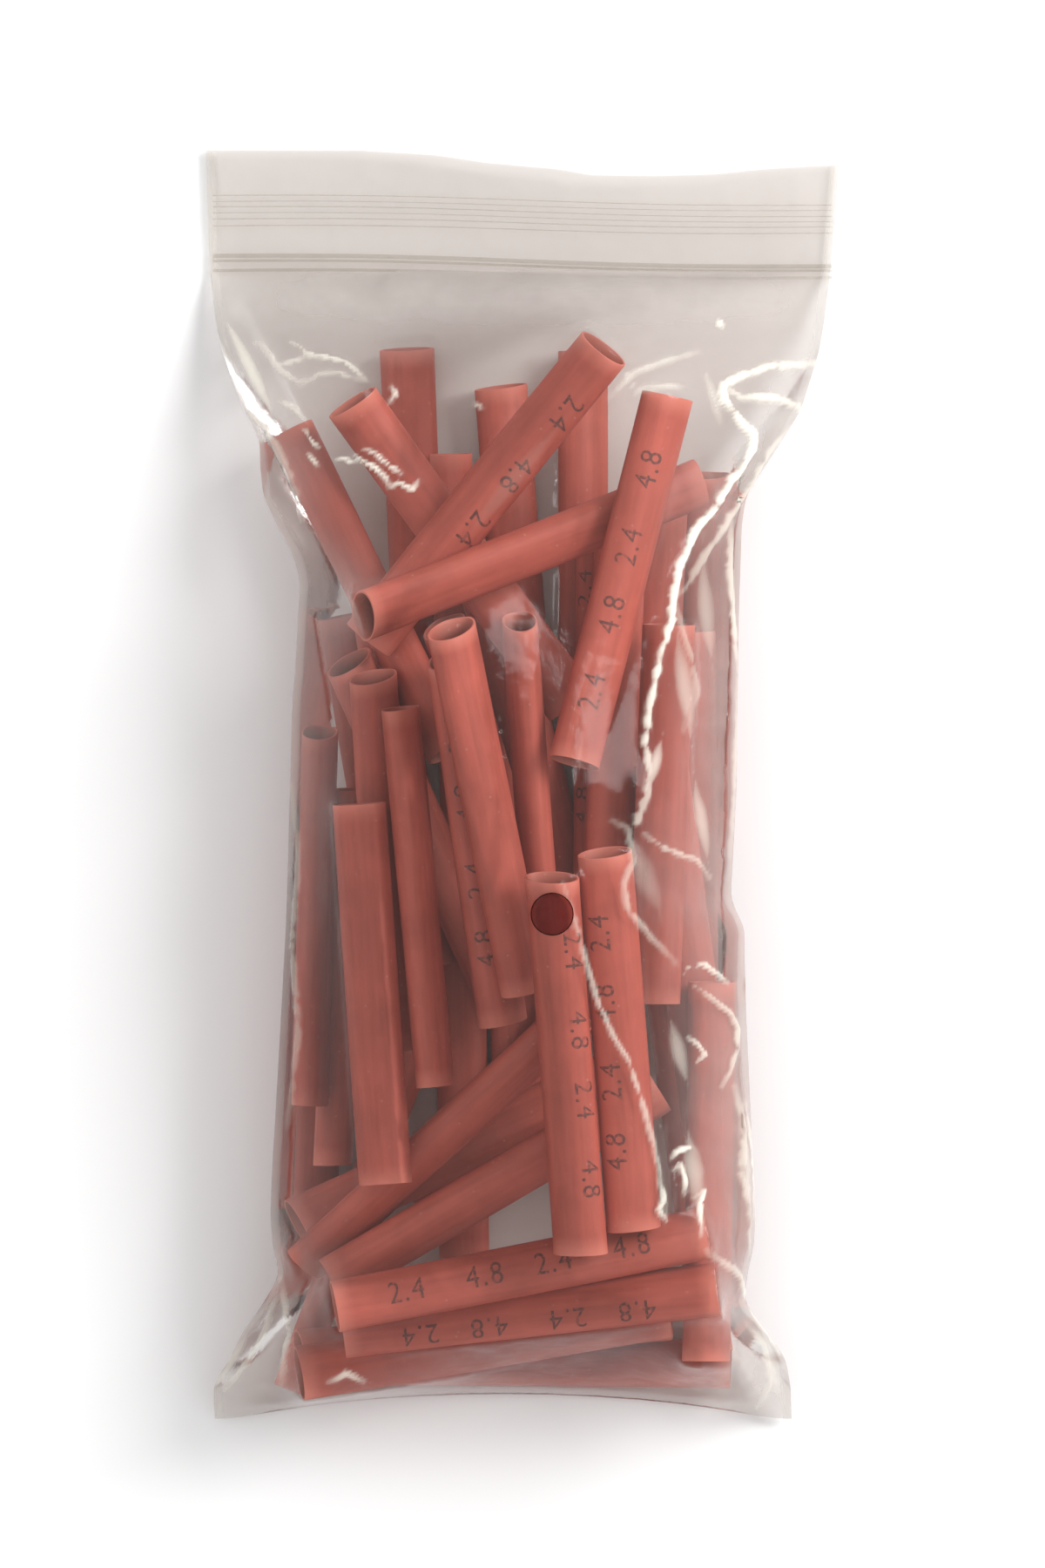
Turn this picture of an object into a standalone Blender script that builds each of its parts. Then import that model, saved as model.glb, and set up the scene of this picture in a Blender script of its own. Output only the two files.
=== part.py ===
"""A clear press-to-close bag full of short cut lengths of red heat shrink tube, lying on its back.

Units are metres and +Z is up. The bag's length runs along Y with its zip at +Y, its width along X,
and its lower film lies on the floor at Z = 0. Every tube is a separate object, laid one after the
other on what is already in the bag, and the bag is one welded film around them all.
"""

import math
from collections import namedtuple

import bmesh
import bpy
import numpy as np
from mathutils import Matrix

MM = 0.001

# The tube: a 4.8 mm bore as supplied, cut to 45 mm and pressed slightly oval
BORE = 4.8 * MM
WALL = 0.3 * MM
TUBE_LENGTH = 45.0 * MM
FLATTENING = 0.2
TUBE_SIDES = 14

# The bag: 3 in by 6 in, measured flat
BAG_WIDTH = 76.2 * MM
BAG_LENGTH = 152.4 * MM
FILM = 0.25 * MM
WELD = 0.8 * MM
LIP_GAP = 0.3 * MM
ZIP_BELOW_TOP = 12.3 * MM
ZIP_HEIGHT = 2.2 * MM
ZIP_THICKNESS = 1.3 * MM
VENT_RADIUS = 2.5 * MM
VENT_SIDES = 24

# How far the lower film curls up towards its side welds
EDGE_RISE = 1.0 * MM
EDGE_RISE_WIDTH = 7.0 * MM

# How high the side welds stand beside the heap, as a share of its height, how far in from a weld
# the lower film leaves the floor, and how far from each end of the pouch the welds start to rise
SEAM_SHARE = 0.36
SEAM_REACH = 8.0 * MM
SEAM_FADE_BOTTOM = 14.0 * MM
SEAM_FADE_TOP = 26.0 * MM

# How far the middles of the bag's two end edges are drawn in
BOTTOM_DRAWN_IN = 3.0 * MM
BOTTOM_DRAWN_REACH = 16.0 * MM
TOP_DRAWN_IN = 2.2 * MM

# The gap between pieces that rest on each other
CLEARANCE = 0.3 * MM

# The film's mesh: columns from side weld to side weld, and the length of one row
COLUMNS = 22
ROW_LENGTH = 3.4 * MM

# Places in the bag are shares of its half width (across, + right) and half length (along, + zip)
VENT_PLACE = (0.09, -0.20)

# The full bag's side edges, from the bottom weld up: (along, across)
RIGHT_EDGE = (
    (-1.00, 0.85), (-0.91, 0.84), (-0.86, 0.77), (-0.80, 0.68), (-0.74, 0.72), (-0.69, 0.73),
    (-0.26, 0.69), (-0.19, 0.65), (0.00, 0.67), (0.41, 0.68), (0.45, 0.70), (0.52, 0.79),
    (0.58, 0.87), (0.69, 0.94), (0.80, 0.97), (1.00, 1.00),
)
LEFT_EDGE = (
    (-1.00, -0.97), (-0.95, -0.98), (-0.90, -0.92), (-0.85, -0.87), (-0.77, -0.75), (-0.73, -0.77),
    (-0.67, -0.79), (-0.41, -0.76), (-0.14, -0.73), (0.08, -0.72), (0.28, -0.70), (0.40, -0.68),
    (0.43, -0.71), (0.50, -0.78), (0.59, -0.88), (0.70, -0.96), (0.82, -0.99), (1.00, -1.00),
)

# The tubes in the order in which they lie, the lowest first: across, along, heading in degrees
# from +X to the tube's upper end, roll in degrees, where 0 has the oval's wide face up, and how
# much of the tube shows from above, from 0 to 1
LAY = (
    (0.38, 0.06, 89, -20, 0), (-0.21, -0.45, 91, -35, 0), (-0.02, -0.30, 91, 20, 0),
    (-0.34, 0.39, 93, 15, 0.5), (-0.02, 0.34, 95, 25, 0.5), (0.19, 0.39, 90, 30, 0.5),
    (0.56, 0.18, 91, 55, 0.8), (-0.16, 0.19, 91, 35, 0.2), (-0.44, -0.02, 103, 35, 0.4),
    (-0.63, -0.39, 92, 70, 0.7), (-0.58, -0.69, 66, 45, 0.9), (0.07, -0.91, 180, 50, 0.5),
    (0.62, -0.65, 92, 70, 0.5), (0.06, -0.44, 55, 35, 0.1), (-0.55, -0.36, 95, 60, 0.4),
    (-0.35, 0.01, 102, 40, 0.3), (0.41, 0.14, 89, 60, 0.5), (-0.02, 0.02, 98, 15, 0.5),
    (-0.03, -0.02, 107, 15, 0.5), (-0.37, 0.31, 120, 5, 0.7), (0.12, 0.11, 92, 35, 0.6),
    (0.27, 0.15, 79, 25, 0.3), (-0.28, -0.07, 107, 65, 0.4), (-0.45, -0.10, 99, 80, 0.5),
    (-0.19, -0.57, 28, 50, 0.5), (-0.33, -0.55, 39, 30, 0.8), (-0.09, -0.61, 24, 30, 0.8),
    (-0.19, 0.36, 126, 0, 0.8), (-0.10, 0.45, 54, 5, 1), (-0.02, 0.38, 22, 10, 1),
    (-0.05, -0.11, 104, 40, 0.6), (0.04, -0.07, 95, 70, 0.7), (-0.18, -0.03, 107, 85, 0.8),
    (0.25, 0.31, 77, 5, 1), (0.59, -0.05, 92, 50, 0.4), (0.44, -0.29, 98, 15, 0.7),
    (0.60, -0.60, 94, 60, 0.4), (0.41, -0.04, 93, 0, 0.8), (-0.03, -0.89, 183, 50, 0.6),
    (-0.09, -0.87, 184, 40, 0.7), (0.02, -0.82, 189, 15, 0.9), (-0.01, -0.76, 187, 30, 1),
    (-0.59, -0.21, 93, 80, 0.9), (-0.45, -0.32, 95, 40, 1), (0.31, -0.42, 98, 10, 1),
    (0.18, -0.43, 95, 0, 1), (-0.29, -0.19, 97, 25, 1),
)

# Tubes that their neighbours hold at a steep tilt, by their place in LAY: degrees, + upper end up
HELD_TILTS = {
    17: 13, 18: 13, 22: 11, 25: 12, 28: 8, 29: -14, 31: 12, 32: 11, 44: 6, 45: 6,
}

# How a tube looks for the lowest place near its own: the most that it moves, turns, tilts and rolls.
# The later tubes, which show, move and turn less by these shares
PLACE_SLACK = 7.0 * MM
PLACE_SHRINK = 0.75
TURN_SLACK = 10.0
TURN_SHRINK = 0.6
TILT_SLACK = 16.0
ROLL_SLACK = 45.0
TRIES = 160
SPREAD_RATIO = 1.1347
SPREAD_START = 20

# How finely a tube's skin is felt, and how often the film is stretched over it and then fitted
SKIN_AROUND = 18
SKIN_ALONG = 25
STRETCHINGS = 220
FITTINGS = 20

# What a tube's place costs against its height: ends held up under the film, a place away from its
# own, and an end pushed past a weld
FILM_PRESS = 0.6
STRAY_COST = 0.15
WELD_PRESS = 6.0
DROP_LEVELS = 60
DROP_HEIGHT = 60.0 * MM

OUTER_RADIUS = BORE / 2 + WALL
WIDE_RADIUS = OUTER_RADIUS * (1 + FLATTENING)
NARROW_RADIUS = OUTER_RADIUS * (1 - FLATTENING)
TUBE_COLOUR = (0.36, 0.045, 0.04, 1.0)
FILM_COLOUR = (0.86, 0.86, 0.85, 0.3)

Tube = namedtuple("Tube", "centre along wide narrow")


def surface(name, colour, roughness):
    """A plain Principled material in the part's own colour."""
    material = bpy.data.materials.new(name)
    material.use_nodes = True
    shader = material.node_tree.nodes["Principled BSDF"]
    shader.inputs["Base Color"].default_value = colour
    shader.inputs["Alpha"].default_value = colour[3]
    shader.inputs["Roughness"].default_value = roughness
    shader.inputs["Metallic"].default_value = 0.0
    return material


def edge_at(edge, y):
    """Where a side edge of the full bag lies at a place along its length."""
    along, across = zip(*edge)
    return np.interp(y, np.array(along) * BAG_LENGTH / 2, np.array(across) * BAG_WIDTH / 2)


def lower_film(x, left, right):
    """Height of the lower film's inner face between two side edges."""
    near_left = np.clip(1 - (x - left) / EDGE_RISE_WIDTH, 0, 1)
    near_right = np.clip(1 - (right - x) / EDGE_RISE_WIDTH, 0, 1)
    return FILM + EDGE_RISE * (near_left**2 + near_right**2)


def lying(across, along, heading, tilt, roll, sideways, lengthways):
    """A tube at floor height, turned by its heading, tilt and roll and moved by its own axes."""
    turn, rise, spin = map(math.radians, (heading, tilt, roll))
    level = np.array((math.cos(turn), math.sin(turn), 0))
    side = np.array((-math.sin(turn), math.cos(turn), 0))
    direction = level * math.cos(rise) + np.array((0, 0, math.sin(rise)))
    over = np.cross(direction, side)
    wide = side * math.cos(spin) + over * math.sin(spin)
    centre = np.array((across * BAG_WIDTH / 2, along * BAG_LENGTH / 2, 0))
    centre = centre + sideways * side + lengthways * level
    return Tube(centre, direction, wide, np.cross(direction, wide))


def skin_points(tube, around=SKIN_AROUND, lengthwise=SKIN_ALONG):
    """Points all over a tube's outer face."""
    turns = np.linspace(0, 2 * math.pi, around, endpoint=False)
    runs = np.linspace(-TUBE_LENGTH / 2, TUBE_LENGTH / 2, lengthwise)
    ring = np.outer(np.cos(turns), tube.wide * WIDE_RADIUS)
    ring = ring + np.outer(np.sin(turns), tube.narrow * NARROW_RADIUS)
    return (tube.centre + np.outer(runs, tube.along)[:, None, :] + ring).reshape(-1, 3)


def gaps_above(tubes, heights, others):
    """The clear gap from each of the tubes, lifted to each of its heights, to each other tube."""
    half = TUBE_LENGTH / 2
    up = np.array((0, 0, 1))
    centre, along, wide, narrow = (np.array(part)[:, None, None] for part in zip(*tubes))
    centre = centre + heights[:, :, None, None] * up
    theirs, their_along, their_wide, their_narrow = (np.array(part) for part in zip(*others))
    apart = centre - theirs
    cosine = (along * their_along).sum(-1)
    own, other = (apart * along).sum(-1), (apart * their_along).sum(-1)
    crossing = np.maximum(1 - cosine**2, 1e-9)
    run = np.clip((cosine * other - own) / crossing, -half, half)
    other_run = np.clip(cosine * run + other, -half, half)
    run = np.clip(cosine * other_run - own, -half, half)
    between = apart + run[..., None] * along - other_run[..., None] * their_along
    distance = np.linalg.norm(between, axis=-1) + 1e-12
    direction = between / distance[..., None]
    reach = section_reach(direction, wide, narrow)
    return distance - reach - section_reach(direction, their_wide, their_narrow)


def section_reach(direction, wide, narrow):
    """How far an oval section reaches from its axis in each direction."""
    across = (direction * wide).sum(-1) * WIDE_RADIUS
    over = (direction * narrow).sum(-1) * NARROW_RADIUS
    return np.sqrt(across**2 + over**2)


def drawn_in(x, left, right):
    """How far the bottom weld is drawn in: most in the middle, not at all at the corners."""
    middle, half = (left + right) / 2, (right - left) / 2
    return BOTTOM_DRAWN_IN * np.clip(1 - ((x - middle) / half) ** 2, 0, 1)


def film_contact(tube):
    """How high a tube's middle must be to clear the lower film, and how far it is past a weld."""
    x, y, z = skin_points(tube).T
    left, right = edge_at(LEFT_EDGE, y), edge_at(RIGHT_EDGE, y)
    floor = lower_film(x, left, right) + CLEARANCE - z
    bottom = drawn_in(x, left, right) - BAG_LENGTH / 2
    past = np.maximum(np.maximum(left - x, x - right), bottom - y) + WELD + CLEARANCE
    return floor.max(), max(past.max(), 0)


def let_down(tubes, floors, earlier):
    """The height at which each tube, let down from above, meets its floor or an earlier tube."""
    if not earlier:
        return floors
    low, high = floors, floors + DROP_HEIGHT
    for levels in (DROP_LEVELS, 12, 12):
        shares = np.linspace(0, 1, levels)
        heights = low[:, None] + (high - low)[:, None] * shares
        blocked = (gaps_above(tubes, heights, earlier) < CLEARANCE).any(-1)
        last = levels - 1 - np.argmax(blocked[:, ::-1], axis=1)
        free = ~blocked.any(axis=1)
        low = np.where(free, low, heights[np.arange(len(tubes)), last])
        high = np.where(free, low, heights[np.arange(len(tubes)), np.minimum(last + 1, levels - 1)])
    return high


def spread(count):
    """Evenly spread shares from -1 to 1 in five directions, the first of them all zero."""
    steps = SPREAD_RATIO ** -np.arange(1, 6)
    shares = 2 * ((0.5 + (SPREAD_START + np.arange(count)[:, None]) * steps) % 1) - 1
    shares[0] = 0
    return shares * np.abs(shares) ** 0.5


def laid_tubes():
    """Every tube where it comes to rest: in the lowest place beside its own, pressed flat by the film."""
    tubes = []
    for place, (across, along, heading, roll, shows) in enumerate(LAY):
        slack = PLACE_SLACK * (1 - PLACE_SHRINK * shows)
        turn = TURN_SLACK * (1 - TURN_SHRINK * shows)
        tilt, tilt_slack = HELD_TILTS.get(place, 0), 0 if place in HELD_TILTS else TILT_SLACK
        best, lowest = np.zeros(5), math.inf
        for closeness in (1.0, 0.25):
            ways = best + closeness * spread(TRIES)
            tried = [
                lying(across, along, heading + way[0] * turn, tilt + way[1] * tilt_slack,
                      roll + way[2] * ROLL_SLACK, way[3] * slack, way[4] * slack)
                for way in ways
            ]
            floors, past = np.array([film_contact(tube) for tube in tried]).T
            heights = let_down(tried, floors, tubes)
            pressed = np.array([abs(tube.along[2]) for tube in tried]) * TUBE_LENGTH / 2
            strayed = np.hypot(ways[:, 3], ways[:, 4]) * slack
            cost = heights + FILM_PRESS * pressed + STRAY_COST * strayed + WELD_PRESS * past
            chosen = int(np.argmin(cost))
            if cost[chosen] < lowest:
                lowest, best = cost[chosen], ways[chosen]
                laid = tried[chosen]._replace(
                    centre=tried[chosen].centre + np.array((0, 0, heights[chosen])))
        tubes.append(laid)
    return tubes


def tube_mesh():
    """One cut tube with its length along Z and the oval's wide way along X."""
    mesh = bpy.data.meshes.new("cut_tube")
    bm = bmesh.new()
    rings = []
    for inset, end in ((0, -1), (0, 1), (WALL, 1), (WALL, -1)):
        ring = []
        for step in range(TUBE_SIDES):
            turn = 2 * math.pi * step / TUBE_SIDES
            x = (WIDE_RADIUS - inset) * math.cos(turn)
            y = (NARROW_RADIUS - inset) * math.sin(turn)
            ring.append(bm.verts.new((x, y, end * TUBE_LENGTH / 2)))
        rings.append(ring)
    for ring, following in zip(rings, rings[1:] + rings[:1]):
        for step in range(TUBE_SIDES):
            beside = (step + 1) % TUBE_SIDES
            bm.faces.new((ring[step], ring[beside], following[beside], following[step]))
    bm.to_mesh(mesh)
    bm.free()
    mesh.shade_smooth()
    mesh.set_sharp_from_angle(angle=math.radians(40))
    return mesh


def add_tubes(tubes):
    """One object for each tube, all sharing one mesh."""
    mesh = tube_mesh()
    mesh.materials.append(surface("tube", TUBE_COLOUR, 0.5))
    for number, tube in enumerate(tubes, 1):
        obj = bpy.data.objects.new(f"tube_{number:02d}", mesh)
        turned = Matrix((tube.wide, tube.narrow, tube.along)).transposed()
        obj.matrix_world = Matrix.Translation(tube.centre) @ turned.to_4x4()
        bpy.context.scene.collection.objects.link(obj)


class Film:
    """The film's rows and columns: places along and across the bag, and heights of its inner faces."""

    def __init__(self, tubes):
        self.skin = np.concatenate([skin_points(tube, 2 * SKIN_AROUND, 2 * SKIN_ALONG) for tube in tubes])
        x, y, _ = self.skin.T
        lowest = y - drawn_in(x, edge_at(LEFT_EDGE, y), edge_at(RIGHT_EDGE, y)) - CLEARANCE - WELD
        self.bottom = min(-BAG_LENGTH / 2, lowest.min())
        self.top = BAG_LENGTH / 2
        self.zip_top = self.top - ZIP_BELOW_TOP
        self.zip_bottom = self.zip_top - ZIP_HEIGHT
        pouch = self.zip_bottom - self.bottom - WELD
        rows = np.linspace(self.bottom + WELD, self.zip_bottom, round(pouch / ROW_LENGTH) + 1)
        lips = np.linspace(self.zip_top, self.top, round(ZIP_BELOW_TOP / ROW_LENGTH) + 1)
        self.rows = np.concatenate(((self.bottom,), rows, lips))
        self.pouch_rows = range(1, len(rows) + 1)
        self.lip_rows = range(len(rows) + 1, len(self.rows))
        self.place_columns()
        self.find_cells()
        self.set_heights()

    def place_columns(self):
        """The inner columns' places; the first and last ones stand on the side welds."""
        left, right = edge_at(LEFT_EDGE, self.rows), edge_at(RIGHT_EDGE, self.rows)
        for row, y in enumerate(self.rows):
            near = self.skin[np.abs(self.skin[:, 1] - y) < ROW_LENGTH + BOTTOM_DRAWN_IN]
            if len(near):
                right[row] = max(right[row], near[:, 0].max() + CLEARANCE + WELD)
                left[row] = min(left[row], near[:, 0].min() - CLEARANCE - WELD)
        self.left, self.right = left, right
        turns = np.linspace(math.pi / 2, -math.pi / 2, COLUMNS - 1)
        self.shares = np.sin(turns)
        middle, half = (left + right) / 2, (right - left) / 2 - WELD
        self.x = middle[:, None] + half[:, None] * self.shares
        self.bend = 1 - self.shares**2
        self.y = self.rows[:, None] + self.shifted(self.rows[:, None], self.bend)

    def shifted(self, along, bend):
        """How far the film is drawn along the bag at places along it."""
        from_bottom = np.clip(1 - (along - self.bottom) / BOTTOM_DRAWN_REACH, 0, 1)
        from_top = np.clip(1 - (self.top - along) / ZIP_BELOW_TOP, 0, 1)
        return (BOTTOM_DRAWN_IN * from_bottom - TOP_DRAWN_IN * from_top) * bend

    def find_cells(self):
        """The cell of the film that each skin point is in, its place in it, and its triangle's corners."""
        x, y, _ = self.skin.T
        middle, half = (self.left + self.right) / 2, (self.right - self.left) / 2 - WELD
        along = y
        for _ in range(5):
            share = (x - np.interp(along, self.rows, middle)) / np.interp(along, self.rows, half)
            share = np.clip(share, -1, 1)
            along = y - self.shifted(along, 1 - share**2)
        row = np.interp(along, self.rows, np.arange(len(self.rows)))
        column = np.interp(-share, -self.shares, np.arange(len(self.shares)))
        first_row = np.minimum(row.astype(int), len(self.rows) - 2)
        first_column = np.minimum(column.astype(int), len(self.shares) - 2)
        self.part_row, self.part_column = row - first_row, column - first_column
        across_first = self.part_column >= self.part_row
        self.corners = (
            (first_row, first_column),
            (np.where(across_first, first_row, first_row + 1),
             np.where(across_first, first_column + 1, first_column)),
            (first_row + 1, first_column + 1),
        )
        self.shares_of_corners = (
            1 - np.maximum(self.part_row, self.part_column),
            np.abs(self.part_column - self.part_row),
            np.minimum(self.part_row, self.part_column),
        )

    def at_skin(self, heights):
        """The height of a film over or under each skin point."""
        pairs = zip(self.corners, self.shares_of_corners)
        return sum(heights[corner] * share for corner, share in pairs)

    def asked(self, amounts):
        """The most by which the skin points in the triangles around each film corner ask it to move."""
        most = np.zeros(self.x.shape)
        for corner in self.corners:
            np.maximum.at(most, corner, amounts)
        return most

    def seam_heights(self):
        """How high the side welds stand at each row."""
        _, y, z = self.skin.T
        crest = np.array([z[np.abs(y - row) < SEAM_FADE_BOTTOM].max(initial=0) for row in self.rows])
        crest = np.convolve(np.pad(crest, 2, mode="edge"), np.ones(5) / 5, mode="valid")
        from_bottom = np.clip((self.rows - self.bottom) / SEAM_FADE_BOTTOM, 0, 1)
        from_top = np.clip((self.zip_bottom - self.rows) / SEAM_FADE_TOP, 0, 1)
        return SEAM_SHARE * crest * from_bottom * from_top

    def set_heights(self):
        """The lower film curls up from the floor to its welds, the upper one is stretched over the tubes."""
        lowest = lower_film(self.x, self.left[:, None], self.right[:, None])
        fade = np.clip((self.zip_bottom - self.rows) / (4 * ROW_LENGTH), 0, 1)[:, None]
        lowest = FILM + (lowest - FILM) * fade
        from_weld = np.minimum(self.x - self.left[:, None], self.right[:, None] - self.x) - WELD
        curl = np.clip(1 - from_weld / SEAM_REACH, 0, 1) ** 2
        low = lowest + self.seam_heights()[:, None] * curl
        skin = self.skin[:, 2]
        for _ in range(FITTINGS):
            low = np.maximum(lowest, low - self.asked(self.at_skin(low) - skin + CLEARANCE))
        self.low = low
        closed = low + LIP_GAP
        high = closed.copy()
        inside = slice(1, -1)
        for _ in range(STRETCHINGS):
            mean = (high[:-2, inside] + high[2:, inside] + high[inside, :-2] + high[inside, 2:]) / 4
            high[inside, inside] = np.maximum(closed[inside, inside], mean)
            high[self.lip_rows[0] - 1:] = closed[self.lip_rows[0] - 1:]
            high += self.asked(skin + CLEARANCE - self.at_skin(high))
        self.high = high

    def ring(self, bm, row, wide, thick):
        """A closed ring of vertices in one row: inside the bag, or out by the film's thickness."""
        x = self.x[row] + wide * self.shares
        edges = self.right[row] - WELD + 2 * wide, self.left[row] + WELD - 2 * wide
        along = self.y[row]
        end = self.rows[row]
        top, base = self.high[row] + thick, self.low[row] - thick
        lip = LIP_GAP / 2 + thick
        seams = (self.high[row, 0] + self.low[row, 0]) / 2, (self.high[row, -1] + self.low[row, -1]) / 2
        upper = [(edges[0], end, seams[0] + lip), *zip(x, along, top), (edges[1], end, seams[1] + lip)]
        lower = [(edges[0], end, seams[0] - lip), *zip(x, along, base), (edges[1], end, seams[1] - lip)]
        return [bm.verts.new(point) for point in upper + lower[::-1]]


def bridge(bm, rings, outward):
    """Faces between rings that follow each other, cut corner to corner the same way inside and out."""
    for ring, following in zip(rings, rings[1:]):
        count = len(ring)
        for step in range(count):
            beside = (step + 1) % count
            corners = [ring[step], ring[beside], following[beside], following[step]]
            if step >= count // 2:
                corners = corners[1:] + corners[:1]
            for face in (corners[:3], (corners[0], corners[2], corners[3])):
                bm.faces.new(face[::-1] if outward else face)


def close_end(bm, ring, towards_zip):
    """A strip of faces across one ring, facing the zip or the bottom weld."""
    half = len(ring) // 2
    for step in range(half - 1):
        corners = (ring[step], ring[step + 1], ring[-2 - step], ring[-1 - step])
        bm.faces.new(corners[::-1] if towards_zip else corners)


def bag_mesh(film):
    """The welded film: an outer face, a sealed pouch inside it and a slot between the lips."""
    bm = bmesh.new()
    outer = [film.ring(bm, row, WELD / 2, FILM) for row in range(len(film.rows))]
    for row in (film.pouch_rows[-1], film.lip_rows[0]):
        half = len(outer[row]) // 2
        for vert in outer[row][:half]:
            vert.co.z += ZIP_THICKNESS - LIP_GAP - 2 * FILM
    bridge(bm, outer, True)
    close_end(bm, outer[0], False)
    pouch = [film.ring(bm, row, 0, 0) for row in film.pouch_rows]
    bridge(bm, pouch, False)
    close_end(bm, pouch[0], True)
    close_end(bm, pouch[-1], False)
    slot = [film.ring(bm, row, 0, 0) for row in film.lip_rows]
    bridge(bm, slot, False)
    close_end(bm, slot[0], True)
    bridge(bm, (outer[-1], slot[-1]), True)
    mesh = bpy.data.meshes.new("zip_bag")
    bm.to_mesh(mesh)
    bm.free()
    return mesh


def add_bag(tubes):
    film = Film(tubes)
    bag = bpy.data.objects.new("zip_bag", bag_mesh(film))
    bpy.context.scene.collection.objects.link(bag)
    bag.data.materials.append(surface("film", FILM_COLOUR, 0.25))
    across, along = VENT_PLACE[0] * BAG_WIDTH / 2, VENT_PLACE[1] * BAG_LENGTH / 2
    near = np.hypot(film.x - across, film.y - along) < VENT_RADIUS + ROW_LENGTH
    low, high = film.high[near].min() - VENT_RADIUS, film.high[near].max() + VENT_RADIUS
    bpy.ops.mesh.primitive_cylinder_add(
        vertices=VENT_SIDES, radius=VENT_RADIUS, depth=high - low,
        location=(across, along, (low + high) / 2))
    cutter = bpy.context.object
    cutter.name = "vent_cutter"
    cutter.hide_render = True
    cutter.display_type = "WIRE"
    cut = bag.modifiers.new("vent_hole", "BOOLEAN")
    cut.operation = "DIFFERENCE"
    cut.solver = "EXACT"
    cut.object = cutter


def main():
    for obj in list(bpy.data.objects):
        bpy.data.objects.remove(obj, do_unlink=True)
    tubes = laid_tubes()
    add_tubes(tubes)
    add_bag(tubes)


main()
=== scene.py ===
"""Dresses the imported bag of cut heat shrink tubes: round tubes with their ink, and a creased clear film."""

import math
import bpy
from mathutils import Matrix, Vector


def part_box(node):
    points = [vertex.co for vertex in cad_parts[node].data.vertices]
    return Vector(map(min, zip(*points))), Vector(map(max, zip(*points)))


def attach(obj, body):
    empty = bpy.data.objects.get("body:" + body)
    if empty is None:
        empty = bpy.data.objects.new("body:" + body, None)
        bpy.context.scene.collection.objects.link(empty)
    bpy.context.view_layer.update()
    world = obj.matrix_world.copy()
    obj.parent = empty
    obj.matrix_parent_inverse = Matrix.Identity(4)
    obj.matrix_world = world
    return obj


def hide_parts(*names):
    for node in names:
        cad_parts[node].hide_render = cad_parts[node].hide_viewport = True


bl_info = {
    "name": "Heat Shrink Tube Pack",
    "version": (1, 0, 0),
    "blender": (4, 5, 0),
    "location": "View3D > Sidebar > Tube Pack",
    "description": "Cut tubes, their ink, the creased film bag with its zip, and the stage around them",
    "category": "Object",
}

from collections import namedtuple

import bmesh
import bpy
import numpy as np
from bpy.props import FloatProperty, FloatVectorProperty, IntProperty, PointerProperty
from mathutils import Vector, noise

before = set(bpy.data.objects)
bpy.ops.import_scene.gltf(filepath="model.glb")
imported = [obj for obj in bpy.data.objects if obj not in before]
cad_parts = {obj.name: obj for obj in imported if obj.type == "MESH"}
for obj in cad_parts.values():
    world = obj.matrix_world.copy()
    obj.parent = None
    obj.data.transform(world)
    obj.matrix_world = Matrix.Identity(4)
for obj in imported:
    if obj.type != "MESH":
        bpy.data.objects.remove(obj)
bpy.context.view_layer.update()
MM = 0.001

# The photograph's scale and middle, for places that are read from it in its own 1200 x 1800 pixels
PIXEL = 0.1047 * MM
MIDDLE_PIXEL = (601, 900)
PHOTO_HEIGHT = 1800 * PIXEL

# A tube's node, its middle, its three directions and its outer radii and length
Lie = namedtuple("Lie", "node centre wide narrow along wide_radius narrow_radius length")

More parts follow.
